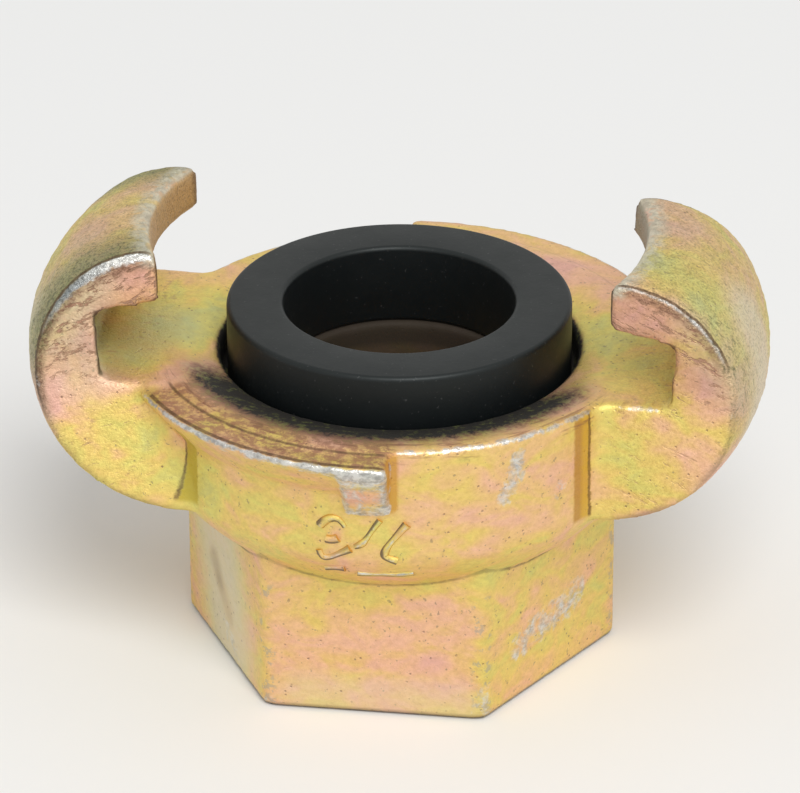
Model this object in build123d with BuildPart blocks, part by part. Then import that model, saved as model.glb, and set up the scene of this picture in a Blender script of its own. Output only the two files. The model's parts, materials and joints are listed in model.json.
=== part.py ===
from build123d import *
from math import hypot, radians, sqrt, tan
import os

os.makedirs("parts", exist_ok=True)

# Female hose coupling: one cast body with a hexagon, a ring with two cam lugs and two
# hooked claws, and one loose rubber seal. Sizes are in millimetres and angles in degrees.
# Z is the axis of the hose line. Z = 0 is the hexagon's end face, which the part stands on.
# The claws lie on +X and -X, and a half turn about Z brings the body onto itself.

# Standard sizes that drive the rest
ACROSS_FLATS = 32.7          # as cast, for a 33 mm spanner
CLAW_DISTANCE = 42.0         # clear distance between the two hook tips
THREAD_MINOR = 24.12         # minor diameter of the G 3/4 female thread, cut plain
THREAD_DEPTH = 17.0

# Hexagon
HEX_CORNER_ROUND = 0.9
HEX_EDGE_ROUND = 0.5
HEX_RISE = 3.5               # from the bowl's foot up, where the bowl covers every corner

# Ring that carries the lugs and the claws
RING_CLEARANCE = 0.05        # the ring passes between another coupling's hook tips
RING_TOP = 28.0
RING_HEIGHT = 10.35          # straight outer wall, from its lower rim to the top face
RING_EDGE_ROUND = 0.25
RIM_ROUND = 1.5              # lower rim, where the wall turns into the bowl
SHOULDER_ROUND = 13.5        # bowl-shaped underside between the ring and the hexagon
SHOULDER_DROP = 4.95         # how far the bowl reaches below the ring's rim
SHOULDER_REACH = 5.0         # how far the bowl reaches inward from the ring's wall

# Cam lugs
LUG_REACH = 2.8              # how far a lug stands out from the ring
LUG_TOP_DROP = 0.3           # the lug's top face lies this far below the ring's
LUG_LIP = 0.4                # upright lip above the lug's undercut
LUG_UNDERCUT = 3.6           # height of the slanting undercut that a hook grips
LUG_START = 15.0             # hidden inside the claw
LUG_END = 95.5               # counted from the claw's middle
LUG_ROOT = 2.0               # how far the lug's profile reaches into the ring
PAD_SPAN = 10.0              # stop pad at the lug's free end
PAD_DROP = 1.5               # the pad's foot lies this far below the undercut's foot
PAD_RISE = 0.25              # the pad stands proud of the undercut

# Hooked claws
CLAW_ROUND = 10.73           # radius of the claw's round back
CLAW_CENTRE_INSET = 0.07     # the back's centre lies this far inside the hook tips
THROAT_DEPTH = 5.3           # radial depth of the throat behind the hook tip
THROAT_HEIGHT = 5.6          # at the throat's back wall
TIP_HEIGHT = 4.2             # upright inner face of the hook tip
THROAT_BEVEL = 0.5           # corners of the throat
TIP_BEVEL = 0.5              # both corners of the hook tip's inner face
CLAW_SWEEP = 100.0           # swept before the two sides are cut
RECESS_SIDE_HALF = 10.7      # from the middle to the side next to the recess
RECESS_SIDE_LEAN = 5.5
LUG_SIDE_HALF = 12.0         # from the middle to the side next to the lug
LUG_SIDE_LEAN = 16.5
CLAW_SIDE_SPLAY = 4.2        # both sides widen outward
SIDE_DATUM_DROP = 1.0        # the two half widths are measured this far below the ring's top
SIDE_DATUM_OUT = 4.0         # and this far outside the hook tips
CLAW_ROOT_ROUND = 1.5        # hollow corners between the claws and the ring

# Seal and its pocket
SEAL_OUTER = 29.5
SEAL_INNER = 19.8
SEAL_HEIGHT = 7.2
SEAL_PROUD = 3.6             # how far the seal stands above the ring
SEAL_EDGE_BEVEL = 0.25
SEAL_CLEARANCE = 0.6         # gap all round the seal in its pocket
POCKET_FLARE = 3.0           # width of the rough flare round the pocket's mouth
POCKET_FLARE_DEPTH = 0.8
PORT_LEDGE = 0.3             # the body's port is this much narrower than the seal's bore
THREAD_ENTRY = 1.2           # chamfer at the thread's mouth

# Sizes that follow
hook_r = CLAW_DISTANCE / 2
ring_r = hook_r - RING_CLEARANCE
ring_rim = RING_TOP - RING_HEIGHT
shoulder_foot_r = ring_r - SHOULDER_REACH
shoulder_foot_z = ring_rim - SHOULDER_DROP
lug_r = ring_r + LUG_REACH
lug_top = RING_TOP - LUG_TOP_DROP
undercut_top = lug_top - LUG_LIP
undercut_foot = undercut_top - LUG_UNDERCUT
claw_r = hook_r - CLAW_CENTRE_INSET
throat_r = hook_r + THROAT_DEPTH
claw_top = RING_TOP + sqrt(CLAW_ROUND**2 - (hook_r - claw_r) ** 2)
tip_bottom = claw_top - TIP_HEIGHT
throat_top = RING_TOP + THROAT_HEIGHT
seal_r = SEAL_OUTER / 2
pocket_r = seal_r + SEAL_CLEARANCE
seal_top = RING_TOP + SEAL_PROUD
seal_seat = seal_top - SEAL_HEIGHT
port_r = SEAL_INNER / 2 - PORT_LEDGE
thread_r = THREAD_MINOR / 2
side_datum_x = hook_r + SIDE_DATUM_OUT
side_datum_z = RING_TOP - SIDE_DATUM_DROP

# One claw, on +X: its C-shaped profile is swept about Z, then both sides are cut by planes
with BuildPart() as claw:
    with BuildSketch(Plane.XZ.rotated((0, 0, -CLAW_SWEEP / 2))) as claw_profile:
        with Locations((claw_r, RING_TOP)):
            Circle(CLAW_ROUND)
        with BuildLine():
            Polyline(
                (0, RING_TOP),
                (throat_r, RING_TOP),
                (throat_r, throat_top),
                (hook_r, tip_bottom),
                (hook_r, claw_top + CLAW_ROUND),
                (0, claw_top + CLAW_ROUND),
                close=True,
            )
        make_face(mode=Mode.SUBTRACT)
        throat_wall = claw_profile.vertices().filter_by_position(
            Axis.X, throat_r - THROAT_BEVEL, throat_r + THROAT_BEVEL
        )
        chamfer(throat_wall, THROAT_BEVEL)
        tip_face = claw_profile.vertices().filter_by_position(
            Axis.X, hook_r - TIP_BEVEL, hook_r + TIP_BEVEL
        )
        chamfer(tip_face, TIP_BEVEL)
    revolve(axis=Axis.Z, revolution_arc=CLAW_SWEEP)
    splay = tan(radians(CLAW_SIDE_SPLAY))
    split(
        bisect_by=Plane(
            origin=(side_datum_x, -RECESS_SIDE_HALF, side_datum_z),
            z_dir=(-splay, -1, tan(radians(RECESS_SIDE_LEAN))),
        ),
        keep=Keep.BOTTOM,
    )
    split(
        bisect_by=Plane(
            origin=(side_datum_x, LUG_SIDE_HALF, side_datum_z),
            z_dir=(-splay, 1, tan(radians(LUG_SIDE_LEAN))),
        ),
        keep=Keep.BOTTOM,
    )

# One cam lug beside that claw, with its stop pad at the free end
with BuildPart() as lug:
    with BuildSketch(Plane.XZ.rotated((0, 0, LUG_START))):
        with BuildLine():
            Polyline(
                (ring_r - LUG_ROOT, undercut_foot),
                (ring_r, undercut_foot),
                (lug_r, undercut_top),
                (lug_r, lug_top),
                (ring_r - LUG_ROOT, lug_top),
                close=True,
            )
        make_face()
    revolve(axis=Axis.Z, revolution_arc=LUG_END - LUG_START)
    with BuildSketch(Plane.XZ.rotated((0, 0, LUG_END - PAD_SPAN))):
        with BuildLine():
            Polyline(
                (ring_r - LUG_ROOT, undercut_foot - PAD_DROP),
                (ring_r + PAD_RISE, undercut_foot - PAD_DROP),
                (lug_r, undercut_top - PAD_RISE),
                (lug_r - LUG_REACH, undercut_top),
                (ring_r - LUG_ROOT, undercut_top),
                close=True,
            )
        make_face()
    revolve(axis=Axis.Z, revolution_arc=PAD_SPAN)

# Hexagon, which reaches up into the bowl
with BuildPart() as hexagon:
    with BuildSketch(Plane.XY) as hexagon_outline:
        RegularPolygon(radius=ACROSS_FLATS / 2, side_count=6, major_radius=False)
        fillet(hexagon_outline.vertices(), HEX_CORNER_ROUND)
    extrude(amount=shoulder_foot_z + HEX_RISE)
    fillet(hexagon.edges().group_by(Axis.Z)[0], HEX_EDGE_ROUND)

# Cast body: ring with its bowl-shaped underside, two claws, two lugs, the hexagon and the bores
with BuildPart() as body:
    with BuildSketch(Plane.XZ) as ring_profile:
        with BuildLine():
            RadiusArc((shoulder_foot_r, shoulder_foot_z), (ring_r, ring_rim), -SHOULDER_ROUND)
            Polyline(
                (ring_r, ring_rim),
                (ring_r, RING_TOP),
                (0, RING_TOP),
                (0, shoulder_foot_z),
                (shoulder_foot_r, shoulder_foot_z),
            )
        make_face()
        wall_ends = ring_profile.vertices().group_by(Axis.X)[-1].sort_by(Axis.Y)
        fillet(wall_ends[0], RIM_ROUND)
        fillet(wall_ends[-1], RING_EDGE_ROUND)
    revolve(axis=Axis.Z)
    with PolarLocations(0, 2):
        add(lug.part)
        add(claw.part)
    claw_roots = body.edges().filter_by(
        lambda e: abs(hypot(e.center().X, e.center().Y) - ring_r) < RING_EDGE_ROUND
        and abs(e.center().X) > hook_r / 2
        and e.bounding_box().size.Z > LUG_UNDERCUT
    )
    fillet(claw_roots, CLAW_ROOT_ROUND)
    add(hexagon.part)
    with BuildSketch(Plane.XZ):
        with BuildLine():
            Polyline(
                (0, 0),
                (thread_r + THREAD_ENTRY, 0),
                (thread_r, THREAD_ENTRY),
                (thread_r, THREAD_DEPTH),
                (port_r, THREAD_DEPTH + thread_r - port_r),
                (port_r, seal_seat),
                (pocket_r, seal_seat),
                (pocket_r, RING_TOP - POCKET_FLARE_DEPTH),
                (pocket_r + POCKET_FLARE, RING_TOP),
                (0, RING_TOP),
                close=True,
            )
        make_face()
    revolve(axis=Axis.Z, mode=Mode.SUBTRACT)
body.part.label = "body"
export_step(body.part, "parts/body.step")

# Loose rubber seal, flat-topped, standing on the pocket's floor
with BuildPart() as seal:
    with BuildSketch(Plane.XY.offset(seal_seat)):
        Circle(seal_r)
        Circle(SEAL_INNER / 2, mode=Mode.SUBTRACT)
    extrude(amount=SEAL_HEIGHT)
    chamfer(seal.edges(), SEAL_EDGE_BEVEL)
seal.part.label = "seal"
export_step(seal.part, "parts/seal.step")
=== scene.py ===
import bmesh
import bpy
import json
import numpy as np
from math import cos, pi, radians, sin
from mathutils import Matrix, Vector
from mathutils.bvhtree import BVHTree

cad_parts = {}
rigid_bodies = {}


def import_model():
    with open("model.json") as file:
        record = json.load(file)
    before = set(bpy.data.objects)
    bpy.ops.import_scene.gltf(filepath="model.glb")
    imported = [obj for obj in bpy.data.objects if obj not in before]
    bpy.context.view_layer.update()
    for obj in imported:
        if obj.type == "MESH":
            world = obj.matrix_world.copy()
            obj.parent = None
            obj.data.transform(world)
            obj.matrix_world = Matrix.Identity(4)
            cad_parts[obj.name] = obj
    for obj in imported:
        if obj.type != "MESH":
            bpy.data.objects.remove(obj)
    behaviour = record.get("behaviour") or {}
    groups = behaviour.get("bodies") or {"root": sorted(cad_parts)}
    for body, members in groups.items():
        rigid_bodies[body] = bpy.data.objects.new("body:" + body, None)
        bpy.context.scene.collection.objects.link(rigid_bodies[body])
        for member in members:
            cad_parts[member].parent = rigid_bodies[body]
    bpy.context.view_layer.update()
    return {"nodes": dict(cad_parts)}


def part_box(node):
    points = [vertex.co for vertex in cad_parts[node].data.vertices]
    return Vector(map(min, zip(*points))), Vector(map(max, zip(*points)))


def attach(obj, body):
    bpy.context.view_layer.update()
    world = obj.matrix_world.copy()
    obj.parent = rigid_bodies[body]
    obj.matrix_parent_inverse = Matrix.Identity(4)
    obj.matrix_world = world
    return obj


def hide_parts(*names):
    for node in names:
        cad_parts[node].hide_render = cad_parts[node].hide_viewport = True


for starter in list(bpy.data.objects):
    bpy.data.objects.remove(starter)
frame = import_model()


# The thread is a G 3/4 female pipe thread, cut in the hexagon's bore after casting: fourteen
# turns to the inch, with rounded crests and roots. Its ridge is a small triangle that follows a
# spiral up the bore, and it is melted into the casting further down.
MM = 0.001
THREAD_PITCH = 1.814 * MM
THREAD_CREST = 12.06 * MM
THREAD_ROOT = 13.25 * MM
THREAD_TURNS = 8.2
THREAD_FROM = 1.3 * MM
THREAD_TO = 17.2 * MM
RIDGE_SUNK = 0.03 * MM       # how far the ridge's foot lies inside the bore's wall
RIDGE_HALF_FOOT = 0.47       # as a share of the pitch
RIDGE_HALF_CREST = 0.13      # as a share of the half foot
SPIRAL_STEPS = 72


class NodeShop:
    """Makes the nodes of one tree, and joins them."""

    def __init__(self, tree):
        self.tree = tree

    def node(self, kind, settings=None, **sockets):
        made = self.tree.nodes.new(kind)
        for name, value in (settings or {}).items():
            if name == "stops":
                self._stops(made.color_ramp, value)
            else:
                setattr(made, name, value)
        for name, value in sockets.items():
            self.feed(made, name, value)
        return made

    def feed(self, made, name, value):
        wanted = name.replace("_", " ").lower()
        if wanted[-1].isdigit() and wanted[:-1] == "input ":
            socket = made.inputs[int(wanted[-1])]
        else:
            usable = [s for s in made.inputs if s.enabled and s.name.lower() == wanted]
            socket = usable[0]
        if isinstance(value, Signal):
            value = value.socket
        if isinstance(value, bpy.types.NodeSocket):
            self.tree.links.new(value, socket)
        else:
            socket.default_value = value

    def value(self, kind, settings=None, output=0, **sockets):
        made = self.node(kind, settings, **sockets)
        return Signal(self, [s for s in made.outputs if s.enabled][output])

    @staticmethod
    def _stops(ramp, stops):
        while len(ramp.elements) > 1:
            ramp.elements.remove(ramp.elements[-1])
        ramp.elements[0].position = stops[0][0]
        ramp.elements[0].color = (*stops[0][1], 1)
        for position, colour in stops[1:]:
            ramp.elements.new(position).color = (*colour, 1)


class Signal:
    """One socket that carries a number, written as if it were that number."""

    def __init__(self, shop, socket):
        self.shop = shop
        self.socket = socket

    def _math(self, operation, first, second=0.0, third=0.0, clamp=False):
        settings = {"operation": operation, "use_clamp": clamp}
        return self.shop.value(
            "ShaderNodeMath", settings, input_0=first, input_1=second, input_2=third
        )

    def __add__(self, other):
        return self._math("ADD", self, other)

    def __radd__(self, other):
        return self._math("ADD", other, self)

    def __sub__(self, other):
        return self._math("SUBTRACT", self, other)

    def __rsub__(self, other):
        return self._math("SUBTRACT", other, self)

    def __mul__(self, other):
        return self._math("MULTIPLY", self, other)

    def __rmul__(self, other):
        return self._math("MULTIPLY", other, self)

    def __truediv__(self, other):
        return self._math("DIVIDE", self, other)

    def __rtruediv__(self, other):
        return self._math("DIVIDE", other, self)

    def __pow__(self, other):
        return self._math("POWER", self, other)

    def than(self, operation, other=0.0):
        """Any other sum of two numbers, named as the Math node names it."""
        return self._math(operation, self, other)

    def clamped(self):
        return self._math("ADD", self, 0.0, clamp=True)

    def between(self, low, high):
        """0 below low, 1 above high, with a soft step between."""
        return self.shop.value(
            "ShaderNodeMapRange",
            {"interpolation_type": "SMOOTHSTEP"},
            Value=self,
            From_Min=low,
            From_Max=high,
            To_Min=0.0,
            To_Max=1.0,
        )

    def inside(self, low, high, soft):
        """1 from low to high, fading to 0 outside over the soft width."""
        return self.between(low - soft, low) * (1 - self.between(high, high + soft))


def new_tree(name, inputs):
    """A geometry tree with one mesh in, one mesh out, and the named number inputs."""
    tree = bpy.data.node_groups.new(name, "GeometryNodeTree")
    tree.interface.new_socket("Geometry", in_out="OUTPUT", socket_type="NodeSocketGeometry")
    tree.interface.new_socket("Geometry", in_out="INPUT", socket_type="NodeSocketGeometry")
    for label in inputs:
        tree.interface.new_socket(label, in_out="INPUT", socket_type="NodeSocketFloat")
    return tree


def grow(obj, tree, sizes):
    """Runs a geometry tree on an object and leaves the result as its plain mesh."""
    modifier = obj.modifiers.new(tree.name, "NODES")
    modifier.node_group = tree
    for item in tree.interface.items_tree:
        if item.in_out == "INPUT" and item.name in sizes:
            modifier[item.identifier] = sizes[item.name]
    bake_down(obj)


def bake_down(obj):
    """Turns what the object's modifiers make of it into its plain mesh."""
    seen = obj.evaluated_get(bpy.context.evaluated_depsgraph_get())
    mesh = bpy.data.meshes.new_from_object(seen)
    obj.modifiers.clear()
    obj.data = mesh


def add_object(name, mesh):
    obj = bpy.data.objects.new(name, mesh)
    bpy.context.scene.collection.objects.link(obj)
    return obj


chromate = bpy.data.materials.new("yellow_chromate")
thread_tree = new_tree("thread ridge", ["Pitch", "Crest Radius", "Root Radius", "Turns", "Start"])
shop = NodeShop(thread_tree)
sizes_in = shop.node("NodeGroupInput").outputs
radius = Signal(shop, sizes_in["Root Radius"]) + RIDGE_SUNK
spiral = shop.node(
    "GeometryNodeCurveSpiral",
    Resolution=SPIRAL_STEPS,
    Rotations=sizes_in["Turns"],
    Start_Radius=radius,
    End_Radius=radius,
    Height=Signal(shop, sizes_in["Turns"]) * sizes_in["Pitch"],
)
upright = shop.node("GeometryNodeSetCurveNormal", {"mode": "Z_UP"}, Curve=spiral.outputs[0])
depth = Signal(shop, sizes_in["Root Radius"]) - sizes_in["Crest Radius"] + RIDGE_SUNK
half_foot = Signal(shop, sizes_in["Pitch"]) * RIDGE_HALF_FOOT
ridge_profile = shop.node("GeometryNodeCurvePrimitiveQuadrilateral", {"mode": "POINTS"})
ridge_corners = ((0, 1.0), (1, RIDGE_HALF_CREST), (1, -RIDGE_HALF_CREST), (0, -1.0))
for number, (inward, along) in enumerate(ridge_corners, 1):
    corner = shop.node("ShaderNodeCombineXYZ", X=depth * inward, Y=half_foot * along, Z=0.0)
    shop.feed(ridge_profile, f"Point {number}", corner.outputs[0])
ridge = shop.node(
    "GeometryNodeCurveToMesh",
    Curve=upright.outputs[0],
    Profile_Curve=ridge_profile.outputs[0],
    Fill_Caps=True,
)
lift = shop.node("ShaderNodeCombineXYZ", Z=sizes_in["Start"])
placed = shop.node("GeometryNodeTransform", Geometry=ridge.outputs[0], Translation=lift.outputs[0])
real = shop.node("GeometryNodeRealizeInstances", Geometry=placed.outputs[0])
plated = shop.node("GeometryNodeSetMaterial", Geometry=real.outputs[0], Material=chromate)
thread_tree.links.new(plated.outputs[0], shop.node("NodeGroupOutput").inputs[0])

thread = add_object("thread_ridge", bpy.data.meshes.new("thread_ridge"))
grow(
    thread,
    thread_tree,
    {
        "Pitch": THREAD_PITCH,
        "Crest Radius": THREAD_CREST,
        "Root Radius": THREAD_ROOT,
        "Turns": THREAD_TURNS,
        "Start": THREAD_FROM,
    },
)

# The body is one iron casting: hexagon, ring, bowl-shaped underside, hooked claws and cam lugs.
# It was cast in sand, so every edge is soft and every face is slightly rough, then its bore,
# pocket and end face were turned, and the whole was zinc plated and yellow chromated.
CAST_STEP = 0.38 * MM
CAST_SOFTENING = 4           # rounds of smoothing
WELD = 0.002 * MM
BORE_REACH = 15.0 * MM       # the bore and its thread lie within this radius
BORE_TOP = 17.5 * MM         # and below this height

cast = bmesh.new()
cast.from_mesh(frame["nodes"]["body"].data)
bmesh.ops.remove_doubles(cast, verts=cast.verts, dist=WELD)
for corner in cast.verts:
    out = corner.co.xy.length
    if abs(out - THREAD_CREST) < 0.05 * MM and corner.co.z < THREAD_TO:
        corner.co.xy *= THREAD_ROOT / out
as_drawn = BVHTree.FromBMesh(cast)
cast.from_mesh(thread.data)
casting = bpy.data.meshes.new("cast_body")
cast.to_mesh(casting)
cast.free()
bpy.data.objects.remove(thread)
body = add_object("cast_body", casting)
melt = body.modifiers.new("melt", "REMESH")
melt.mode = "VOXEL"
melt.voxel_size = CAST_STEP
melt.use_smooth_shade = True
bake_down(body)


def numbers(mesh, domain, field, width):
    """One field of the mesh's vertices or edges as an array."""
    items = getattr(mesh, domain)
    kind = np.int32 if field == "vertices" else np.float32
    flat = np.empty(len(items) * width, kind)
    items.foreach_get(field, flat)
    return flat.reshape(-1, width)


def neighbours_mean(values, edges, rounds):
    """Each vertex's value drawn towards its neighbours' mean, again and again."""
    ends = np.concatenate([edges, edges[:, ::-1]])
    count = np.bincount(ends[:, 0], minlength=len(values))[:, None]
    for _ in range(rounds):
        total = np.empty_like(values)
        for axis in range(values.shape[1]):
            weights = values[ends[:, 1], axis]
            total[:, axis] = np.bincount(ends[:, 0], weights=weights, minlength=len(values))
        values = 0.5 * values + 0.5 * total / count
    return values


def ramp_up(values, low, high):
    """0 below low, 1 above high, with a soft step between."""
    part = np.clip((values - low) / (high - low), 0.0, 1.0)
    return part * part * (3 - 2 * part)


def remember(mesh, name, values):
    """Keeps one number for each vertex under a name that the material reads."""
    kept_field = mesh.attributes.new(name, "FLOAT", "POINT")
    kept_field.data.foreach_set("value", values.astype(np.float32))


# The melted mesh is drawn back onto the surfaces as designed, which takes the small steps off
# its slanting edges, and then softened all over. The bore keeps the thread's melted form.
shape = body.data
place = numbers(shape, "vertices", "co", 3).astype(np.float64)
edges = numbers(shape, "edges", "vertices", 2)
out = np.hypot(place[:, 0], place[:, 1])
outside = np.flatnonzero((out > BORE_REACH) | (place[:, 2] > BORE_TOP))
for rounds in (2, CAST_SOFTENING):
    for k in outside:
        place[k] = as_drawn.find_nearest(place[k])[0]
    place = neighbours_mean(place, edges, rounds)

# The hooks' corners over the throat are blunter than the other edges. These sizes of the hooks
# and the ring are in millimetres, and the roof's slope is the direction square to it.
RING_TOP = 28.0
HOOK_TIP = 21.0
HOOK_ROUND = 1.25
ROOF_AT_TIP = 34.53
ROOF_OUT, ROOF_UP = 0.173, 0.985
ROUND_RISE = 0.84            # how much of the round lies above the tip's foot
round_centre = np.array((HOOK_TIP + HOOK_ROUND, ROOF_AT_TIP + ROUND_RISE * HOOK_ROUND))
out = np.hypot(place[:, 0], place[:, 1]) / MM
from_centre = np.stack((out, place[:, 2] / MM), axis=1) - round_centre
distance = np.linalg.norm(from_centre, axis=1)
in_corner = (from_centre[:, 1] < 0) & (from_centre @ (-ROOF_UP, ROOF_OUT) > 0)
in_corner &= (distance > HOOK_ROUND) & (distance < 2 * HOOK_ROUND)
pulled = round_centre + from_centre * (HOOK_ROUND / np.maximum(distance, 0.01))[:, None]
factor = np.where(in_corner, pulled[:, 0] / out, 1.0)
place[:, 0] *= factor
place[:, 1] *= factor
place[:, 2] = np.where(in_corner, pulled[:, 1] * MM, place[:, 2])
shape.vertices.foreach_set("co", place.ravel().astype(np.float32))
shape.update()

# Where the casting's edges stand out or its corners lie deep: the distance from each point to
# the mean of its neighbourhood, narrow for sharp edges and wide for the bands beside them.
# With each point's place, these tell where it is worn, grimy, stained or sooty, and where shade
# is painted beside the pads and in the pocket's gap.
CLAW_CENTRE = 20.93
NARROW, WIDE = 10, 50        # rounds of smoothing
facing = numbers(shape, "vertices", "normal", 3).astype(np.float64)
near_mean = neighbours_mean(place, edges, NARROW)
wide_mean = neighbours_mean(near_mean, edges, WIDE)
near_rise = ((place - near_mean) * facing).sum(1) / MM
wide_rise = ((place - wide_mean) * facing).sum(1) / MM
spots = place / MM
out = np.hypot(spots[:, 0], spots[:, 1])
up = spots[:, 2]
outward = (spots[:, 0] * facing[:, 0] + spots[:, 1] * facing[:, 1]) / out
from_claw = np.degrees(np.arctan2(np.abs(spots[:, 1]), np.abs(spots[:, 0])))
round_lug = np.degrees(np.arctan2(spots[:, 1], spots[:, 0])) % 180
claw_arc = np.hypot(out - CLAW_CENTRE, up - RING_TOP)


def within(values, low, high, soft):
    """1 from low to high, fading to 0 outside over the soft width."""
    return ramp_up(values, low - soft, low) * (1 - ramp_up(values, high, high + soft))


def near_line(start, end, width):
    """1 on the line between two points in millimetres, fading to 0 at the width."""
    line = np.subtract(end, start)
    apart = spots - start
    along = np.clip(apart @ line / (line @ line), 0, 1)
    distance = np.linalg.norm(apart - along[:, None] * line, axis=1)
    return 1 - ramp_up(distance, 0.2 * width, width)


def strokes(table):
    """The sum of soft strokes: each has a strength, two ends and a width in millimetres."""
    return sum(strength * near_line(*where) for strength, *where in table)


turned = np.maximum(1 - ramp_up(out, 15.2, 15.5), 1 - ramp_up(up, 0.1, 0.5))
cast_face = 1 - turned
sharp = ramp_up(near_rise, 0.05, 0.14)
beside = ramp_up(wide_rise, 0.10, 0.42)
on_claw = np.maximum(1 - ramp_up(from_claw, 27, 30), ramp_up(up, 28.3, 29.0))
claw_back = ramp_up(claw_arc, 9.6, 10.4) * ramp_up(up, 14, 22)
claw_back *= ramp_up(outward + facing[:, 2], 0.3, 0.8) * (1 - ramp_up(from_claw, 24, 30))
sharpest = ramp_up(near_rise, 0.09, 0.19)

# Rubbed to the zinc: the lips of the throats, lugs and ring, the stop pads' borders, and a few
# scratches and knocks. The pads and lugs lie between these angles, which come twice round.
LUG_ANGLES = (30, 96)
PAD_ANGLES = (85.2, 95.4)
throat_lip = sharpest * within(up, 27.6, 28.3, 0.5) * ramp_up(out, 21.0, 22.5) * on_claw
lug_lip = ramp_up(out, 22.6, 23.8) * within(up, 26.7, 28.0, 0.35) * (1 - on_claw)
lug_lip *= ramp_up(outward, 0.15, 0.6) * ramp_up(round_lug, 24, 60) * within(round_lug, 0, 96, 1)
lug_edge = sharp * within(up, 27.2, 28.0, 0.3) * within(round_lug, *LUG_ANGLES, 1)
lug_lip += lug_edge * ramp_up(out, 23.0, 24.0)
ring_lip = sharpest * within(up, 27.5, 28.3, 0.3) * ramp_up(out, 20.2, 20.6)
ring_lip *= within(round_lug, 97, 150, 3)
on_pad = within(round_lug, *PAD_ANGLES, 0.8) * within(up, 21.9, 27.0, 0.5)
on_pad *= ramp_up(outward, 0.1, 0.4) * ramp_up(out, 21.02, 21.12)
pad_middle = within(round_lug, 87.5, 93.0, 1.6) * within(up, 23.6, 25.0, 1.2)
scratches = (
    (0.62, (12.2, -12.0, 5.2), (16.0, -4.8, 6.6), 2.4),
    (0.62, (12.4, -16.9, 26.0), (11.4, -17.7, 22.8), 1.5),
    (0.35, (15.6, -14.0, 22.5), (15.2, -14.3, 21.5), 1.2),
    (0.50, (9.3, -16.1, 0.6), (9.4, -16.2, 3.0), 1.5),
    (0.42, (-9.3, -16.1, 0.4), (-8.6, -16.4, 0.8), 1.5),
    (0.40, (-14.2, -8.2, 3.0), (-12.8, -10.6, 1.4), 1.8),
)
worn = 0.8 * throat_lip + 0.50 * lug_lip + 0.9 * ring_lip
worn = worn + 0.85 * on_pad * (1 - 0.45 * pad_middle) + strokes(scratches)

# Darker along the foot's edge and the claws' lower edges, and grime in a dent and in the left
# throat. The film pooled brown in hollows and in the dent; beside the pads the brown is painted
# shade on the recessed wall. Soot lies round the seal, and the pocket's gap is painted black as
# shade.
dirt = (
    (0.24, (-15.5, -6.0, 8.4), (-14.9, -7.0, 6.8), 1.5),
    (0.12, (-15.0, -6.8, 6.8), (-13.6, -9.2, 4.2), 1.1),
    (0.55, (-26.2, -9.5, 28.4), (-26.0, 2.0, 28.4), 2.0),
)
grimy = strokes(dirt) + 0.8 * (1 - ramp_up(up, 0.25, 0.6)) * ramp_up(near_rise, 0.02, 0.06)
claw_edge = sharpest * ramp_up(claw_arc, 9.7, 10.3)
grimy += 0.6 * claw_edge * (1 - ramp_up(up, 28, 31)) * ramp_up(up, 17, 18)
# Beside each pad the recessed end wall is painted orange brown as shade.
stained = within(round_lug, 95.2, 97.2, 0.8) * within(up, 22.5, 27.7, 0.4)
stained *= ramp_up(out, 20.7, 20.9)
stained += 0.20 * near_line((-15.5, -6.0, 8.4), (-13.8, -8.9, 4.6), 1.8)
stained += 0.12 * ramp_up(-near_rise, 0.05, 0.14) * ramp_up(up, 28.2, 28.8)
hook_stain = near_line((-20.6, 1.5, 35.5), (-19.6, 8, 36.5), 4)
stained += 0.6 * hook_stain * (1 - ramp_up(outward, -0.6, -0.2))
dish = (1 - ramp_up(out, 17.4, 20.8)) * ramp_up(out, 15.0, 15.4) * within(up, 26.6, 28.2, 0.4)
sooty = 1.25 * dish * ramp_up(-spots[:, 1], 4.0, 11.0)
# The pocket's wall in the gap round the seal is painted black as shade.
pocket_gap_shade = (1 - ramp_up(out, 15.5, 15.9)) * within(up, 24.5, 27.2, 0.3)
sooty = np.maximum(sooty, 1.2 * pocket_gap_shade)

# Where the backs are weathered to a dull green, where a pale haze lies over the film, and where
# the film drifts towards pink, or back towards yellow and green.
dull_green = (
    (1.0, (-26, -10, 36.5), (-30.5, -8, 30), 5),
    (0.3, (-28, -5, 36), (-30.8, -2, 30), 5),
    (0.7, (27, -9.5, 36), (30.5, -9, 30), 4),
    (1.1, (-25.5, -8, 28), (-21, -1, 28), 6),
)
haze = (
    (0.80, (-15.5, -6.5, 12), (-14, -9, 3), 9),
    (0.35, (-6, -16.3, 1.5), (7, -16.3, 1.5), 3.5),
    (0.60, (-31.6, -4, 22), (-31.2, -5, 30), 5),
    (0.75, (31.6, -5, 21), (30.5, -3, 33), 5.5),
)
pink = (
    (0.17, (-7, -16.3, 7.5), (7, -16.3, 6.5), 6),
    (0.10, (-9, -16.3, 2), (3, -16.3, 1), 6),
    (0.10, (11, -18, 24), (16, -13.5, 20), 6),
    (0.12, (2, -21, 24), (7, -20, 21), 4),
    (0.24, (-29.5, -10.5, 29), (-24, -10, 36), 6),
    (0.20, (-24, -10, 37), (-21, -9, 36), 4),
    (0.34, (29, -10, 31), (22, -9.5, 36.5), 6),
    (0.14, (30, -11, 26), (27, -11.5, 22), 5),
    (0.26, (-17, -9, 28), (-2, -19, 28), 4),
    (0.14, (4, 17, 28), (15, 12, 28), 5),
    (0.16, (-26, 1, 38), (-27, -4, 37), 4),
    (0.30, (-1.0, -22.2, 24.4), (1.0, -22.2, 24.4), 1.8),
    (0.14, (24, 3, 38.6), (22, 5, 38.6), 4),
    (0.10, (15.2, -5, 12), (16.0, -2, 8), 4),
    (0.34, (-30, -10.8, 26.5), (-24.5, -11, 28.5), 4.5),
)
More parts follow.
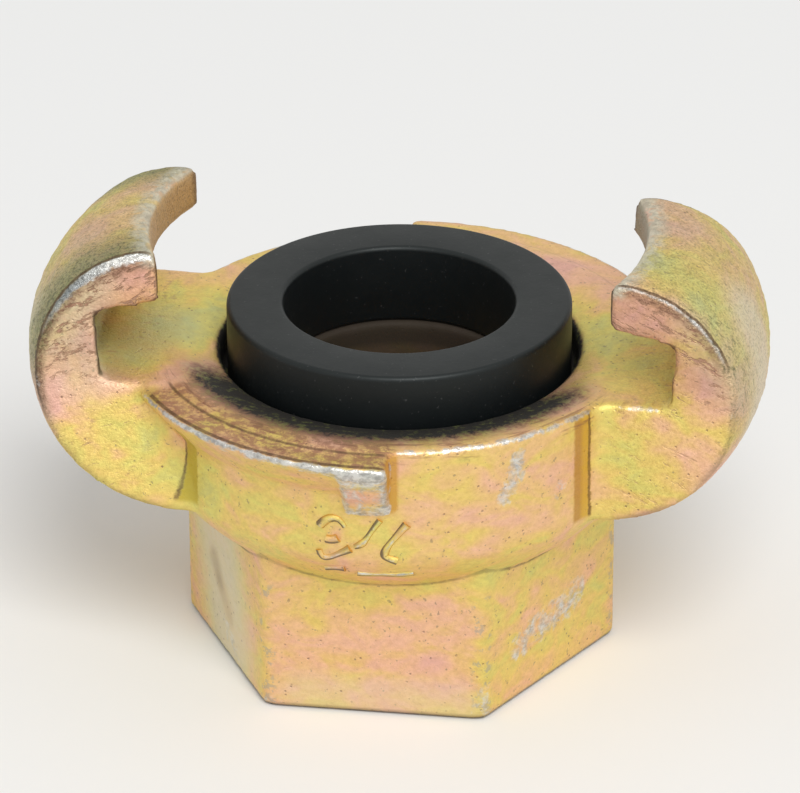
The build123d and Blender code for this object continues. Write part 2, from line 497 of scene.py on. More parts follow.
yellow = (
    (0.12, (12, -12.5, 8), (16, -5, 6), 8),
    (0.18, (-10.3, -15.5, 11), (-10.3, -15.5, 2), 2.5),
    (0.14, (-13, -16, 21), (-5, -20.5, 18), 6),
    (0.10, (4, -20.6, 24), (2, -20.6, 19), 3),
    (0.12, (-25, -12, 19), (-22, -12, 25), 6),
    (0.12, (22, -11, 24), (26, -11, 19), 5),
    (0.30, (23, -6, 38), (27, -7, 36), 6),
    (0.10, (17, -2, 28), (15, 9, 28), 5),
)
green = (
    (0.40, (-15.5, -6.5, 12), (-14, -9, 3), 9),
    (0.30, (-20, -9.5, 22), (-17, -12.5, 17), 5),
    (0.30, (-24, -6, 28), (-17, 3, 28), 7),
    (0.22, (18, 3, 28), (25, -6, 28), 5),
    (0.22, (29, -8, 33), (27, -9, 36), 4),
    (0.16, (9.6, -16.2, 14), (9.6, -16.2, 1), 2.2),
)
remember(shape, "film_drift", strokes(pink) - strokes(yellow + green))
remember(shape, "hazed", strokes(haze) * cast_face)
remember(shape, "worn", worn * cast_face)
remember(shape, "grimy", grimy)
remember(shape, "stained", stained * cast_face)
remember(shape, "sooty", sooty)
remember(shape, "weathered", strokes(dull_green))
remember(shape, "claw_back", claw_back * cast_face)
remember(shape, "sharp", np.maximum(sharp, beside))
remember(shape, "turned", turned)

# The sand's grain: low bumps all over the cast faces, and deeper wrinkles on the claws' backs.
grain_tree = new_tree(
    "sand grain", ["Grain Size", "Grain Height", "Wrinkle Size", "Wrinkle Height"]
)
shop = NodeShop(grain_tree)
grain_in = shop.node("NodeGroupInput").outputs
position = shop.value("GeometryNodeInputPosition")
normal = shop.value("GeometryNodeInputNormal")


def mesh_field(name):
    """A number that the mesh keeps for each vertex, in the geometry tree."""
    return shop.value("GeometryNodeInputNamedAttribute", {"data_type": "FLOAT"}, Name=name)


cast_only = 1 - mesh_field("turned")
on_back = mesh_field("claw_back")
on_edge = mesh_field("sharp")
fine = shop.value(
    "ShaderNodeTexNoise",
    Vector=position,
    Scale=1 / Signal(shop, grain_in["Grain Size"]),
    Detail=3.0,
    Roughness=0.6,
)
stretched = shop.value(
    "ShaderNodeVectorMath", {"operation": "MULTIPLY"}, input_0=position, input_1=(1.0, 1.0, 2.2)
)
coarse = shop.value(
    "ShaderNodeTexNoise",
    Vector=stretched,
    Scale=1 / Signal(shop, grain_in["Wrinkle Size"]),
    Detail=2.0,
    Roughness=0.5,
    Distortion=0.6,
)
bumps = (fine - 0.5) * grain_in["Grain Height"]
wrinkles = (coarse - 0.5) * grain_in["Wrinkle Height"] * (0.10 + 0.90 * on_back * (1 - on_edge))
rise = (bumps + wrinkles) * cast_only
offset = shop.value("ShaderNodeVectorMath", {"operation": "SCALE"}, input_0=normal, Scale=rise)
moved = shop.node("GeometryNodeSetPosition", Geometry=grain_in["Geometry"], Offset=offset)
real = shop.node("GeometryNodeRealizeInstances", Geometry=moved.outputs[0])
plated = shop.node("GeometryNodeSetMaterial", Geometry=real.outputs[0], Material=chromate)
grain_tree.links.new(plated.outputs[0], shop.node("NodeGroupOutput").inputs[0])
grain = {
    "Grain Size": 0.9 * MM,
    "Grain Height": 0.10 * MM,
    "Wrinkle Size": 1.7 * MM,
    "Wrinkle Height": 0.30 * MM,
}
grow(body, grain_tree, grain)
body.data.shade_smooth()

# Yellow chromate is a thin clear film on the zinc. Its thickness drifts, so the colour runs
# from green-yellow through gold to salmon and pink, and it is rubbed through to grey zinc on
# the edges. In the corners it pools to an orange brown.
chromate.use_nodes = True
chromate.node_tree.nodes.clear()
shop = NodeShop(chromate.node_tree)
in_metres = shop.node("ShaderNodeTexCoord").outputs["Object"]
place_mm = shop.value(
    "ShaderNodeVectorMath", {"operation": "SCALE"}, input_0=in_metres, Scale=1 / MM
)


def kept(name):
    """A number that the mesh keeps for each vertex, in the material."""
    return shop.value("ShaderNodeAttribute", {"attribute_name": name}, output=2)


def stretch(by):
    """The place in millimetres, drawn out along each axis for a pattern to follow."""
    return shop.value(
        "ShaderNodeVectorMath", {"operation": "MULTIPLY"}, input_0=place_mm, input_1=by
    )


def cloud(where, scale, detail=2.0, roughness=0.5, distortion=0.0):
    """Random light and dark, from 0 to 1."""
    return shop.value(
        "ShaderNodeTexNoise",
        Vector=where,
        Scale=scale,
        Detail=detail,
        Roughness=roughness,
        Distortion=distortion,
    )


def colour_mix(amount, below, above, blend="MIX"):
    """One colour laid over another by the given amount."""
    settings = {"data_type": "RGBA", "blend_type": blend}
    below = (*below, 1) if isinstance(below, tuple) else below
    above = (*above, 1) if isinstance(above, tuple) else above
    return shop.value("ShaderNodeMix", settings, Factor=amount, A=below, B=above)


worn = kept("worn")
grimy = kept("grimy")
stained = kept("stained")
sooty = kept("sooty")
weathered = kept("weathered")
hazed = kept("hazed")
back = kept("claw_back")
turned = kept("turned")
split = shop.node("ShaderNodeSeparateXYZ", Vector=place_mm)
x, y, z = (Signal(shop, socket) for socket in split.outputs)
from_axis = (x * x + y * y) ** 0.5
reach = x.than("ABSOLUTE")
across = y * x.than("SIGN")
left = 1 - x.between(-1.0, 1.0)
turn = (y.than("ARCTAN2", x) * (180 / pi)).than("FLOORED_MODULO", 180.0)

# How deep a point lies inside the claw's outline, in millimetres: from its nearer side, from
# its round back, and from the throat's and the hook's inner outline.
CLAW_ROUND = 10.73
THROAT_WALL = 26.3
SIDES_AT = (25.0, 27.0)      # radius and height at which the two half widths are measured
RECESS_SIDE, RECESS_LEAN = 10.7, 0.0963
LUG_SIDE, LUG_LEAN, LUG_SQUARE = 12.0, 0.296, 0.956
SIDE_SPLAY = 0.0734
splayed = (reach - SIDES_AT[0]) * SIDE_SPLAY
raised = z - SIDES_AT[1]
side_gap = (splayed + across + RECESS_SIDE - raised * RECESS_LEAN).than(
    "MINIMUM", (splayed - across + LUG_SIDE - raised * LUG_LEAN) * LUG_SQUARE
)
arc_gap = CLAW_ROUND - ((from_axis - CLAW_CENTRE) ** 2 + (z - RING_TOP) ** 2) ** 0.5
tip_short = (HOOK_ROUND + HOOK_TIP - from_axis).than("MAXIMUM", 0.0)
roof_gap = (from_axis - HOOK_TIP) * ROOF_OUT + (z - ROOF_AT_TIP) * ROOF_UP
roof_short = (HOOK_ROUND - roof_gap).than("MAXIMUM", 0.0)
hook_gap = HOOK_ROUND - (tip_short * tip_short + roof_short * roof_short) ** 0.5
inner_gap = hook_gap.than("MAXIMUM", from_axis - THROAT_WALL)
at_side = 1 - side_gap.between(0.12, 0.34)
at_back = 1 - arc_gap.between(0.15, 0.40)
at_inner = 1 - inner_gap.between(0.08, 0.30)
on_hook = z.between(28.4, 28.8)

# The film's own colours by its thickness, then the dulling of the backs, the speckle of the
# sand's surface, the haze and the weathering over it.
film = cloud(stretch((1.0, 1.0, 1.7)), 0.13, 2.0, 0.5, 0.8)
blush = cloud(stretch((1.0, 1.0, 1.6)), 0.25, 2.0, 0.5, 0.9)
mottle = cloud(stretch((1.0, 1.0, 1.5)), 1.3, 4.0, 0.7, 0.2)
speckle = cloud(place_mm, 3.4, 3.0, 0.75)
drift = (film - 0.5) * 0.70 + (blush - 0.5) * 0.68 + (mottle - 0.5) * 0.06
thickness = drift + kept("film_drift") * 0.80 + 0.50
film_colour = shop.value(
    "ShaderNodeValToRGB",
    {
        "stops": [
            (0.08, (0.58, 0.58, 0.23)),
            (0.27, (0.74, 0.65, 0.18)),
            (0.42, (0.82, 0.61, 0.18)),
            (0.55, (0.84, 0.55, 0.24)),
            (0.68, (0.86, 0.52, 0.32)),
            (0.88, (0.80, 0.46, 0.37)),
        ]
    },
    Fac=thickness,
)
colour = colour_mix(back * (0.04 + 0.34 * film), film_colour, (0.50, 0.51, 0.28))
shade = colour_mix(mottle.between(0.30, 0.70), (0.84, 0.80, 0.77), (1.07, 1.08, 1.08))
colour = colour_mix(0.5 + 0.3 * back, colour, shade, "MULTIPLY")
shade = colour_mix(speckle.between(0.32, 0.62), (0.80, 0.76, 0.72), (1.05, 1.06, 1.06))
colour = colour_mix(0.30 + 0.35 * reach.between(18, 21), colour, shade, "MULTIPLY")
flecks = cloud(place_mm, 2.1, 2.0, 0.6).between(0.66, 0.72)
colour = colour_mix(flecks * 0.55, colour, (0.24, 0.18, 0.12))
colour = colour_mix((hazed * (0.6 + 0.8 * mottle)).clamped(), colour, (0.74, 0.65, 0.50))
hook_side = at_side * z.between(27.0, 31.0) * (1 - at_back)
colour = colour_mix(hook_side, colour, (0.80, 0.76, 0.74), "MULTIPLY")
colour = colour_mix(weathered * (0.15 + 0.6 * mottle), colour, (0.51, 0.56, 0.33))
near_rim = (1 - side_gap.between(0.5, 6.0)) * back * left * z.between(25.0, 32.0)
colour = colour_mix((near_rim * (0.1 + 1.3 * mottle)).clamped(), colour, (0.22, 0.23, 0.09))

# Fine folds in the cast faces: short slanting ones on the claws' sides, long ones round their
# backs. Then small pits, the orange brown in the corners, grime and the bare zinc.
slant_along = z * 0.42 - reach * 0.91
slant_across = z * 0.91 + reach * 0.42
slanted = shop.node("ShaderNodeCombineXYZ", X=slant_along * 0.6, Y=y * 1.2, Z=slant_across * 2.1)
side_folds = cloud(slanted.outputs[0], 1.0, 4.0, 0.7, 0.4)
side_folds = side_folds.between(0.56 - 0.05 * hook_side, 0.70 - 0.06 * hook_side)
side_folds = side_folds * (1 - back) * (0.14 + 0.36 * reach.between(18, 21) + 0.8 * hook_side)
back_folds = cloud(stretch((0.8, 1.9, 0.8)), 1.2, 5.0, 0.75, 1.2).between(0.52, 0.66)
back_folds = back_folds * back * (0.22 + 0.80 * weathered + 0.5 * near_rim)
colour = colour_mix(side_folds, colour, (0.44, 0.25, 0.16))
colour = colour_mix(back_folds, colour, (0.17, 0.17, 0.08))
pits = shop.value(
    "ShaderNodeTexVoronoi", {"feature": "F1"}, Vector=place_mm, Scale=1.35, Randomness=1.0
)
chosen = cloud(place_mm, 0.5, 1.0).between(0.45, 0.58)
grit = cloud(place_mm, 4.6, 2.0, 0.6).between(0.50, 0.64)
colour = colour_mix(grit * (0.32 * back + 0.55 * near_rim), colour, (0.13, 0.12, 0.05))
pit = (1 - pits.between(0.06, 0.19)) * chosen
colour = colour_mix(0.6 * pit, colour, (0.22, 0.12, 0.10))
# Pooled film, with painted shade beside the pads and on the size mark's flanks.
pooled_and_shade = (stained * (0.5 + 1.1 * mottle)).clamped()
colour = colour_mix(pooled_and_shade * 0.9, colour, (0.58, 0.30, 0.045))

# The hollow corners beside the claws, where the film pooled in an upright strip, and the dark
# line that the sand left along each. Each strip lies between two angles.
FAR_STRIP = (142.6, 147.0)
NEAR_STRIP = (39.8, 43.2)
on_wall = from_axis.inside(20.3, 22.2, 0.3)
wavy = turn + (mottle - 0.5) * 1.2
strip_far = wavy.inside(*FAR_STRIP, 1.0) * z.inside(18.2, 27.4, 0.5)
strip_near = wavy.inside(*NEAR_STRIP, 0.8) * z.inside(18.6, 25.2, 0.6)
gold = colour_mix(wavy.between(143.6, 145.6), (0.52, 0.27, 0.055), (0.68, 0.41, 0.05))
colour = colour_mix(strip_far * on_wall * (0.65 + 0.5 * mottle), colour, gold)
colour = colour_mix(strip_near * on_wall * (0.6 + 0.5 * mottle), colour, (0.52, 0.40, 0.045))
far_line = wavy.inside(FAR_STRIP[1], 147.3, 0.5) * z.inside(18.2, 27.6, 0.4)
near_strip_line = wavy.inside(39.0, 39.2, 0.5) * z.inside(18.6, 25.0, 0.4)
root_line = (far_line + near_strip_line) * on_wall

# The thin line where the bowl ends on the hexagon's flats, the seam of lug and ring, the brown
# on the front lug's top with streaks round the axis, and grey specks on the hexagon's corners.
HALF_FLATS = 16.35
BOWL_CENTRE = (9.28, 24.437)
BOWL_ROUND = 13.5
SEAM_RADIUS = 21.1
flat_across = y.than("ABSOLUTE")
for tilt in (0.5, -0.5):
    flat_across = flat_across.than("MAXIMUM", (x * 0.866 + y * tilt).than("ABSOLUTE"))
bowl_gap = ((from_axis - BOWL_CENTRE[0]) ** 2 + (z - BOWL_CENTRE[1]) ** 2) ** 0.5 - BOWL_ROUND
crease = ((flat_across - HALF_FLATS) ** 2 + bowl_gap * bowl_gap) ** 0.5
crease = (1 - crease.between(0.15, 0.30)) * (1 - z.between(17.0, 17.6))
crease = crease * (1 - 0.45 * from_axis.between(17.6, 18.2))
in_front = 1 - y.between(-6.0, 4.0)
seam = 1 - (from_axis - SEAM_RADIUS).than("ABSOLUTE").between(0.04, 0.22)
seam = seam * z.between(27.4, 27.6) * turn.inside(32.0, 94.0, 2.0) * (0.2 + 0.8 * in_front)
lug_face = in_front * z.between(27.35, 27.6) * turn.inside(34.0, 95.0, 3.0)
lug_face = lug_face * (1 - from_axis.between(23.2, 23.5))
colour = colour_mix(lug_face * mottle.between(0.36, 0.58) * 0.8, colour, (0.36, 0.16, 0.10))
round_axis = shop.node("ShaderNodeCombineXYZ", X=turn * 0.07, Y=from_axis * 1.7, Z=z)
streaks = cloud(round_axis.outputs[0], 1.0, 3.0, 0.65, 0.3).between(0.52, 0.66)
streaks = streaks * z.inside(26.9, 28.2, 0.2) * from_axis.inside(17.0, 22.8, 0.5)
streaks = streaks * turn.inside(30.0, 150.0, 8.0) * in_front
colour = colour_mix(streaks * 0.62, colour, (0.26, 0.11, 0.065))
hexagon_corner = from_axis.between(18.25, 18.55) * (1 - z.between(11.5, 12.5))
corner_specks = hexagon_corner * cloud(place_mm, 0.9, 4.0, 0.7).between(0.54, 0.62)
colour = colour_mix(corner_specks * 0.55, colour, (0.38, 0.36, 0.31))

# The rims of the claws' sides: bare zinc on the edge with a painted highlight, brighter towards
# the hooks' tops, a dark line on the back beside it, and a brown band below it. A dark line of
# painted shade also follows the throat and the hook's inner outline.
rim_noise = cloud(place_mm, 1.5, 3.0, 0.6)
rim_from = 31.0 - 6.5 * left
rim_width = left * (0.10 + 0.78 * z.between(29.5, 36.8)) + (1 - left) * 0.40
rim_width = rim_width * (0.45 + 1.1 * rim_noise)
rim_reach = z.between(rim_from, rim_from + 2.5)
# The rim is bare zinc with a painted highlight that brightens towards the hooks' tops.
rim_zinc_and_highlight = at_side * (1 - (arc_gap - rim_width).between(-0.30, 0.06)) * rim_reach
rim_zinc_and_highlight = rim_zinc_and_highlight * (1 - side_gap.between(0.10, 0.22)) * (0.34 + 0.66 * z.between(31.0, 36.0))
rim_under = at_side * (arc_gap - rim_width).inside(-0.05, 0.35, 0.45) * rim_reach
rim_above = at_back * side_gap.inside(0.20, 0.32, 0.13) * rim_reach
# Painted shade along the throat and the hook's inner outline.
hook_outline_shade = at_side * at_inner * on_hook
lug_line = from_axis.inside(23.05, 23.25, 0.14) * z.between(27.4, 27.6)
lug_line = lug_line * turn.inside(34.0, 94.8, 1.0) * (0.15 + 0.85 * in_front)
lines = rim_above + hook_outline_shade + 0.85 * root_line + 0.85 * crease + 0.8 * seam + 0.9 * lug_line
lines = lines * (0.45 + 1.0 * rim_noise)
under_mix = rim_under * (speckle * 0.7 + mottle * 0.9).between(0.55, 1.0)
colour = colour_mix(under_mix * 0.85, colour, (0.22, 0.11, 0.065))

# The hooks' upper lips are rubbed to a dull grey, and the faces of their tips are brown with
# dark specks. The left throat's wall is painted dark as shade.
patchy = cloud(place_mm, 0.8, 3.0, 0.65, 0.5)
lip = z.between(37.0, 38.1) * (1 - (from_axis + (patchy - 0.5) * 4.0).between(21.8, 23.2))
lip = lip * (0.35 + 0.65 * patchy.between(0.36, 0.52))
lip_colour = colour_mix(mottle.between(0.35, 0.65), (0.46, 0.44, 0.35), (0.68, 0.65, 0.52))
colour = colour_mix(lip * 0.85, colour, lip_colour)
tip_face = (1 - (from_axis - HOOK_TIP).than("ABSOLUTE").between(0.1, 0.3)) * z.between(34.6, 35.2)
tip_face = tip_face * (1 - z.between(38.0, 38.6))
tip_colour = colour_mix(left, (0.36, 0.32, 0.22), (0.58, 0.34, 0.12))
colour = colour_mix((tip_face * (0.6 + 0.6 * mottle)).clamped(), colour, tip_colour)
tip_specks = tip_face * (speckle.between(0.50, 0.66) * 0.5 + grit * 0.3)
tip_specks = tip_specks + tip_face * (1 - side_gap.between(0.4, 1.2)) * 0.8
colour = colour_mix(tip_specks.clamped() * 0.8, colour, (0.16, 0.09, 0.04))
wall_shade = (1 - (from_axis - THROAT_WALL).than("ABSOLUTE").between(0.15, 0.4)) * left
wall_shade = wall_shade * (1 - side_gap.between(0.7, 1.7)) * z.inside(28.6, 33.3, 0.4)
colour = colour_mix(wall_shade * (0.5 + 0.6 * mottle), colour, (0.11, 0.11, 0.055))
colour = colour_mix(lines.clamped() * 0.85, colour, (0.10, 0.055, 0.03))
# Grime on the body, and painted shade on the size mark's left and lower flanks.
grime_and_shade_amount = (grimy * (0.3 + 1.4 * mottle)).clamped()
colour = colour_mix(grime_and_shade_amount * 0.85, colour, (0.13, 0.10, 0.07))

# The bare zinc shows in ragged patches, with a painted near-white highlight on the hooks' tops,
# and bluish lower down the left rim; the size mark's tops get their painted highlight here too.
# Over it lie the brown, olive and black soot of the groove, black painted shade in the pocket's
# gap, and the inside of the port, painted dark as shade.
LUG_EDGE = (23.75, 27.70)
RUB_START = 0.32
lug_rim = ((from_axis - LUG_EDGE[0]) ** 2 + (z - LUG_EDGE[1]) ** 2) ** 0.5
lug_rim = (1 - lug_rim.between(0.22, 0.5)) * turn.inside(34.0, 95.4, 2.0)
lug_rim = lug_rim * (1 - 0.45 * turn.between(76.0, 83.0))
worn = worn + lug_rim * 0.9 + lip * 0.15
ragged = worn.between(0.0, 0.3)
uneven = ((patchy - 0.5) * 2.4 + (mottle - 0.5) * 0.7) * ragged
rubbed_and_highlight = ((worn + uneven - RUB_START) * 1.6).clamped()
rubbed_and_highlight = rubbed_and_highlight.than("MAXIMUM", rim_zinc_and_highlight * (0.70 + 0.5 * mottle)).clamped()
zinc_and_highlight = colour_mix(mottle.between(0.35, 0.62), (0.36, 0.37, 0.38), (0.72, 0.73, 0.72))
# A painted near-white highlight on the rim at the hooks' tops.
zinc_and_highlight = colour_mix(rim_zinc_and_highlight * z.between(36.8, 38.2), zinc_and_highlight, (0.84, 0.84, 0.82))
zinc_and_highlight = colour_mix(rim_zinc_and_highlight * left * (1 - z.between(35.0, 37.4)), zinc_and_highlight, (0.27, 0.30, 0.33))
colour = colour_mix(rubbed_and_highlight * 0.90, colour, zinc_and_highlight)
brown_olive = colour_mix(mottle.between(0.47, 0.60), (0.34, 0.17, 0.11), (0.20, 0.22, 0.07))
colour = colour_mix((sooty * 0.9).clamped(), colour, brown_olive)
# Black soot in the groove, and black painted shade in the pocket's gap round the seal.
black_soot_and_shade = (sooty * 1.38 + (0.5 - mottle) * 3.4 * sooty - 0.50).clamped()
colour = colour_mix(black_soot_and_shade, colour, (0.015, 0.013, 0.010))
# The inside of the port, seen through the seal, is painted dark as shade.
below = (1 - from_axis.between(14.0, 14.6)) * z.between(16.5, 17.5)
port_shade = below * (0.94 + 0.05 * z.between(21.8, 22.8))
colour = colour_mix(port_shade, colour, (0.030, 0.020, 0.012))

# The surface's fine relief in millimetres, and the shader.
bump_height = (speckle - 0.5) * (0.045 + 0.04 * reach.between(18, 21))
bump_height = bump_height + (mottle - 0.5) * (0.06 + 0.12 * back) - grit * back * 0.05
bump_height = bump_height - (side_folds + back_folds) * 0.07 - pit * 0.06
fine_bump = shop.node(
    "ShaderNodeBump",
    Height=bump_height * (1 - 0.6 * turned),
    Strength=0.9,
    Distance=MM,
)
skin = shop.node(
    "ShaderNodeBsdfPrincipled",
    Base_Color=colour,
    Metallic=(0.60 + 0.30 * rubbed_and_highlight - 0.5 * black_soot_and_shade - 0.2 * pooled_and_shade - 0.4 * port_shade).clamped(),
    Roughness=0.42 + 0.12 * speckle - 0.14 * rubbed_and_highlight + 0.2 * black_soot_and_shade + 0.3 * port_shade,
    Normal=fine_bump.outputs[0],
)
shop.node("ShaderNodeOutputMaterial", Surface=skin.outputs[0])
body.data.materials.clear()
body.data.materials.append(chromate)
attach(body, "root")
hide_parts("body")


# The size mark is cast on the ring under the stop pad: a thin raised line for each stroke of
# the fraction, and one under it, low and blurred as sand casts it.
MARK_WIDTH = 0.42 * MM
MARK_SUNK = 0.14 * MM
CLEAR_OF_BODY = 40 * MM
mark_strokes = {             # angles round the axis in degrees and heights in millimetres
    "three_top": [(-100.5, 20.6), (-99.2, 21.2), (-97.3, 21.5), (-95.5, 21.3), (-94.6, 20.7)],
    "three_middle": [(-99.1, 19.4), (-97.6, 19.3), (-96.2, 19.6)],
    "three_foot": [(-100.8, 18.3), (-100.4, 17.6), (-99.0, 17.5), (-96.5, 18.0), (-93.4, 18.7)],
    "bar": [(-92.4, 18.9), (-90.7, 19.2), (-89.7, 19.7), (-88.3, 20.6), (-86.5, 21.6)],
    "four": [(-80.4, 21.2), (-84.0, 19.6), (-85.7, 18.5), (-85.4, 18.0), (-82.7, 17.7)],
    "line_left": [(-100.2, 16.0), (-97.6, 16.2), (-95.3, 16.3)],
    "line": [(-92.5, 15.7), (-90.0, 15.6), (-85.7, 15.7), (-82.0, 15.7), (-78.7, 15.9)],
}
strokes_data = bpy.data.curves.new("size_mark", "CURVE")
strokes_data.dimensions = "3D"
strokes_data.bevel_depth = MARK_WIDTH
strokes_data.bevel_resolution = 4
strokes_data.resolution_u = 10
strokes_data.use_fill_caps = True
for points in mark_strokes.values():
    stroke = strokes_data.splines.new("NURBS")
    stroke.points.add(len(points) - 1)
    for point, (angle, height) in zip(stroke.points, points):
        away = Vector((cos(radians(angle)), sin(radians(angle)), 0))
        hit = body.ray_cast(away * CLEAR_OF_BODY + Vector((0, 0, height * MM)), -away)
        spot = hit[1] - away * MARK_SUNK
        point.co = (*spot, 1)
        point.radius = 0.85 + 0.22 * sin(9.0 * angle + height)
    stroke.order_u = 3
    stroke.use_endpoint_u = True
mark = add_object("size_mark", strokes_data)
seen_mark = mark.evaluated_get(bpy.context.evaluated_depsgraph_get())
mark_mesh = bpy.data.meshes.new_from_object(seen_mark)
bpy.data.objects.remove(mark)
mark = add_object("size_mark", mark_mesh)
mark.data.shade_smooth()
# The strokes' colours carry painted light: brown flanks, partly pooled film and partly painted
# shade; painted shade on the left and lower flanks; and a painted highlight on the tops, brightest
# on the line under the fraction.
flank = numbers(mark.data, "vertices", "normal", 3)
spots = numbers(mark.data, "vertices", "co", 3)
outward = (flank[:, :2] * spots[:, :2]).sum(1) / np.linalg.norm(spots[:, :2], axis=1)
shaded = ramp_up(-flank[:, 0] * 0.75 - flank[:, 2] * 0.55, 0.02, 0.30)
shaded *= 1 - ramp_up(outward, 0.90, 1.0)
lined = ramp_up(spots[:, 0], -0.002, 0.0) * (1 - ramp_up(spots[:, 2], 0.0160, 0.0164))
remember(mark.data, "stained", 1.1 * (1 - ramp_up(outward, 0.45, 0.85)))
remember(mark.data, "grimy", 1.6 * shaded * (1 - 0.5 * lined))
remember(mark.data, "worn", (0.46 + 0.4 * lined) * ramp_up(outward - shaded, 0.80, 0.97))
remember(mark.data, "film_drift", -0.12 * np.ones(len(spots)))
mark.data.materials.clear()
mark.data.materials.append(chromate)
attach(mark, "root")


# The seal is one ring of black rubber, moulded, with flat faces and small round edges. It
# stands loose in the body's pocket.
seal_low, seal_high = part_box("seal")
SEAL_BORE = 9.9 * MM
SEAL_ROUND = 0.42 * MM
SEAL_PARTS = 180
SEAL_ROUND_STEPS = 6
seal_outer = seal_high[0]
seal_bottom = seal_low[2]
seal_top = seal_high[2]
profile = []
for cx, cz, start in (
    (seal_outer - SEAL_ROUND, seal_bottom + SEAL_ROUND, -90),
    (seal_outer - SEAL_ROUND, seal_top - SEAL_ROUND, 0),
    (SEAL_BORE + SEAL_ROUND, seal_top - SEAL_ROUND, 90),
    (SEAL_BORE + SEAL_ROUND, seal_bottom + SEAL_ROUND, 180),
):
    for step in range(SEAL_ROUND_STEPS + 1):
        angle = radians(start + 90 * step / SEAL_ROUND_STEPS)
        profile.append((cx + SEAL_ROUND * cos(angle), cz + SEAL_ROUND * sin(angle)))
ring = bmesh.new()
loops = []
for part in range(SEAL_PARTS):
    angle = 2 * pi * part / SEAL_PARTS
    loops.append([ring.verts.new((r * cos(angle), r * sin(angle), h)) for r, h in profile])
for part, loop in enumerate(loops):
    after = loops[(part + 1) % SEAL_PARTS]
    for k in range(len(profile)):
        n = (k + 1) % len(profile)
        ring.faces.new((loop[k], after[k], after[n], loop[n]))
bmesh.ops.recalc_face_normals(ring, faces=ring.faces)
seal_mesh = bpy.data.meshes.new("seal_ring")
ring.to_mesh(seal_mesh)
ring.free()
seal_mesh.shade_smooth()
seal = add_object("seal_ring", seal_mesh)
rubber = bpy.data.materials.new("black_rubber")
rubber.use_nodes = True
rubber.node_tree.nodes.clear()
shop = NodeShop(rubber.node_tree)
in_metres = shop.node("ShaderNodeTexCoord").outputs["Object"]
place_mm = shop.value(
    "ShaderNodeVectorMath", {"operation": "SCALE"}, input_0=in_metres, Scale=1 / MM
)
matt = cloud(place_mm, 0.35, 3.0, 0.6)
dust = cloud(place_mm, 3.2, 2.0, 0.5).between(0.67, 0.76)
bloom = cloud(place_mm, 0.9, 4.0, 0.7)
colour = colour_mix(bloom, (0.0030, 0.0045, 0.0055), (0.0065, 0.0080, 0.0085))
colour = colour_mix(dust * 0.35, colour, (0.10, 0.10, 0.10))
rubber_bump = shop.node(
    "ShaderNodeBump", Height=cloud(place_mm, 2.2, 4.0, 0.6) * 0.02, Strength=0.6, Distance=MM
)
skin = shop.node(
    "ShaderNodeBsdfPrincipled",
    Base_Color=colour,
    Roughness=0.39 + 0.14 * matt,
    Specular_IOR_Level=0.36,
    Specular_Tint=(0.93, 1.0, 0.98, 1),
    Normal=rubber_bump.outputs[0],
)
shop.node("ShaderNodeOutputMaterial", Surface=skin.outputs[0])
seal.data.materials.append(rubber)
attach(seal, "root")
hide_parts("seal")


# The coupling stands on a wide sheet of pale paper, in an evenly lit white room, with one broad
# soft lamp high in front on the right.
PAPER = (0.84, 0.84, 0.83)
PAPER_RADIUS = 2.2
BACKDROP = (0.807, 0.807, 0.785)
ROOM_LIGHT = 0.61
LAMP_PLACE = (0.42, -1.05, 1.35)
LAMP_SIZE = 0.95
LAMP_POWER = 19.2
LAMP_AIM = (0, 0, 0.02)
sweep = bmesh.new()
bmesh.ops.create_circle(sweep, cap_ends=True, segments=96, radius=PAPER_RADIUS)
paper_mesh = bpy.data.meshes.new("paper")
sweep.to_mesh(paper_mesh)
sweep.free()
paper = add_object("paper", paper_mesh)
paper_white = bpy.data.materials.new("paper_white")
paper_white.use_nodes = True
paper_white.node_tree.nodes.clear()
shop = NodeShop(paper_white.node_tree)
flat = shop.node("ShaderNodeBsdfDiffuse", Color=(*PAPER, 1))
shop.node("ShaderNodeOutputMaterial", Surface=flat.outputs[0])
paper.data.materials.append(paper_white)

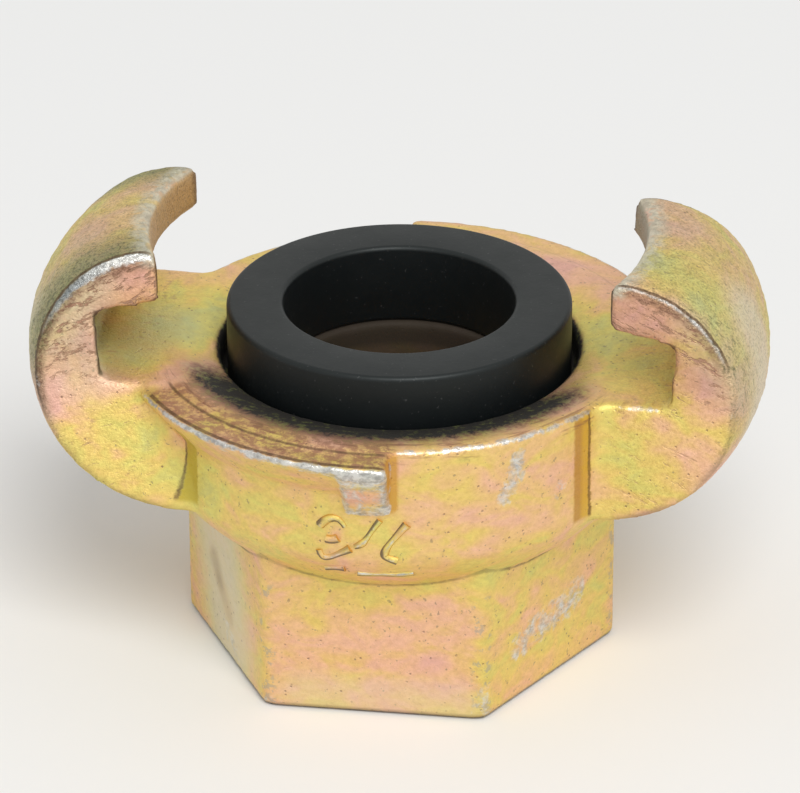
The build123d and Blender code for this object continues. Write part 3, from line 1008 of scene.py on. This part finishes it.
scene = bpy.context.scene
scene.view_settings.view_transform = "Standard"
room = bpy.data.worlds.new("room")
scene.world = room
room.use_nodes = True
room.node_tree.nodes.clear()
shop = NodeShop(room.node_tree)
rays = shop.node("ShaderNodeLightPath").outputs
light_path = (Signal(shop, rays["Is Camera Ray"]) + rays["Is Glossy Ray"]).clamped()
air = shop.node("ShaderNodeBackground", Color=(1.0, 1.0, 1.0, 1), Strength=ROOM_LIGHT)
seen = shop.node("ShaderNodeBackground", Color=(*BACKDROP, 1), Strength=1.0)
chosen_air = shop.node(
    "ShaderNodeMixShader", Fac=light_path, input_1=air.outputs[0], input_2=seen.outputs[0]
)
shop.node("ShaderNodeOutputWorld", Surface=chosen_air.outputs[0])
lamp_data = bpy.data.lights.new("front_lamp", "AREA")
lamp_data.shape = "DISK"
lamp_data.size = LAMP_SIZE
lamp_data.energy = LAMP_POWER
lamp = add_object("front_lamp", lamp_data)
lamp.location = LAMP_PLACE
aim = Vector(LAMP_AIM) - Vector(LAMP_PLACE)
lamp.rotation_euler = aim.to_track_quat("-Z", "Y").to_euler()

# The camera stands where the photograph was taken from.
CAMERA_HEIGHT_ANGLE = 27.808
CAMERA_TURN = 8.092
CAMERA_DISTANCE = 470.05 * MM
CAMERA_ROLL = -0.27
CAMERA_SIDE = 0.02 * MM
CAMERA_LIFT = 19.57 * MM
CAMERA_LENS = 240.3
round_z, rise_angle, roll = map(radians, (CAMERA_TURN, CAMERA_HEIGHT_ANGLE, CAMERA_ROLL))
back_axis = Vector((sin(round_z), -cos(round_z), 0)) * cos(rise_angle)
back_axis.z = sin(rise_angle)
right_axis = Vector((cos(round_z), sin(round_z), 0))
up_axis = back_axis.cross(right_axis)
rolled_right = right_axis * cos(roll) + up_axis * sin(roll)
rolled_up = up_axis * cos(roll) - right_axis * sin(roll)
camera_data = bpy.data.cameras.new("camera")
camera_data.lens = CAMERA_LENS
camera_data.sensor_width = 36
camera_data.clip_start = 0.02
camera = add_object("camera", camera_data)
spot = back_axis * CAMERA_DISTANCE + right_axis * CAMERA_SIDE + up_axis * CAMERA_LIFT
looks = Matrix((rolled_right, rolled_up, back_axis)).transposed().to_4x4()
camera.matrix_world = Matrix.Translation(spot) @ looks
scene.camera = camera
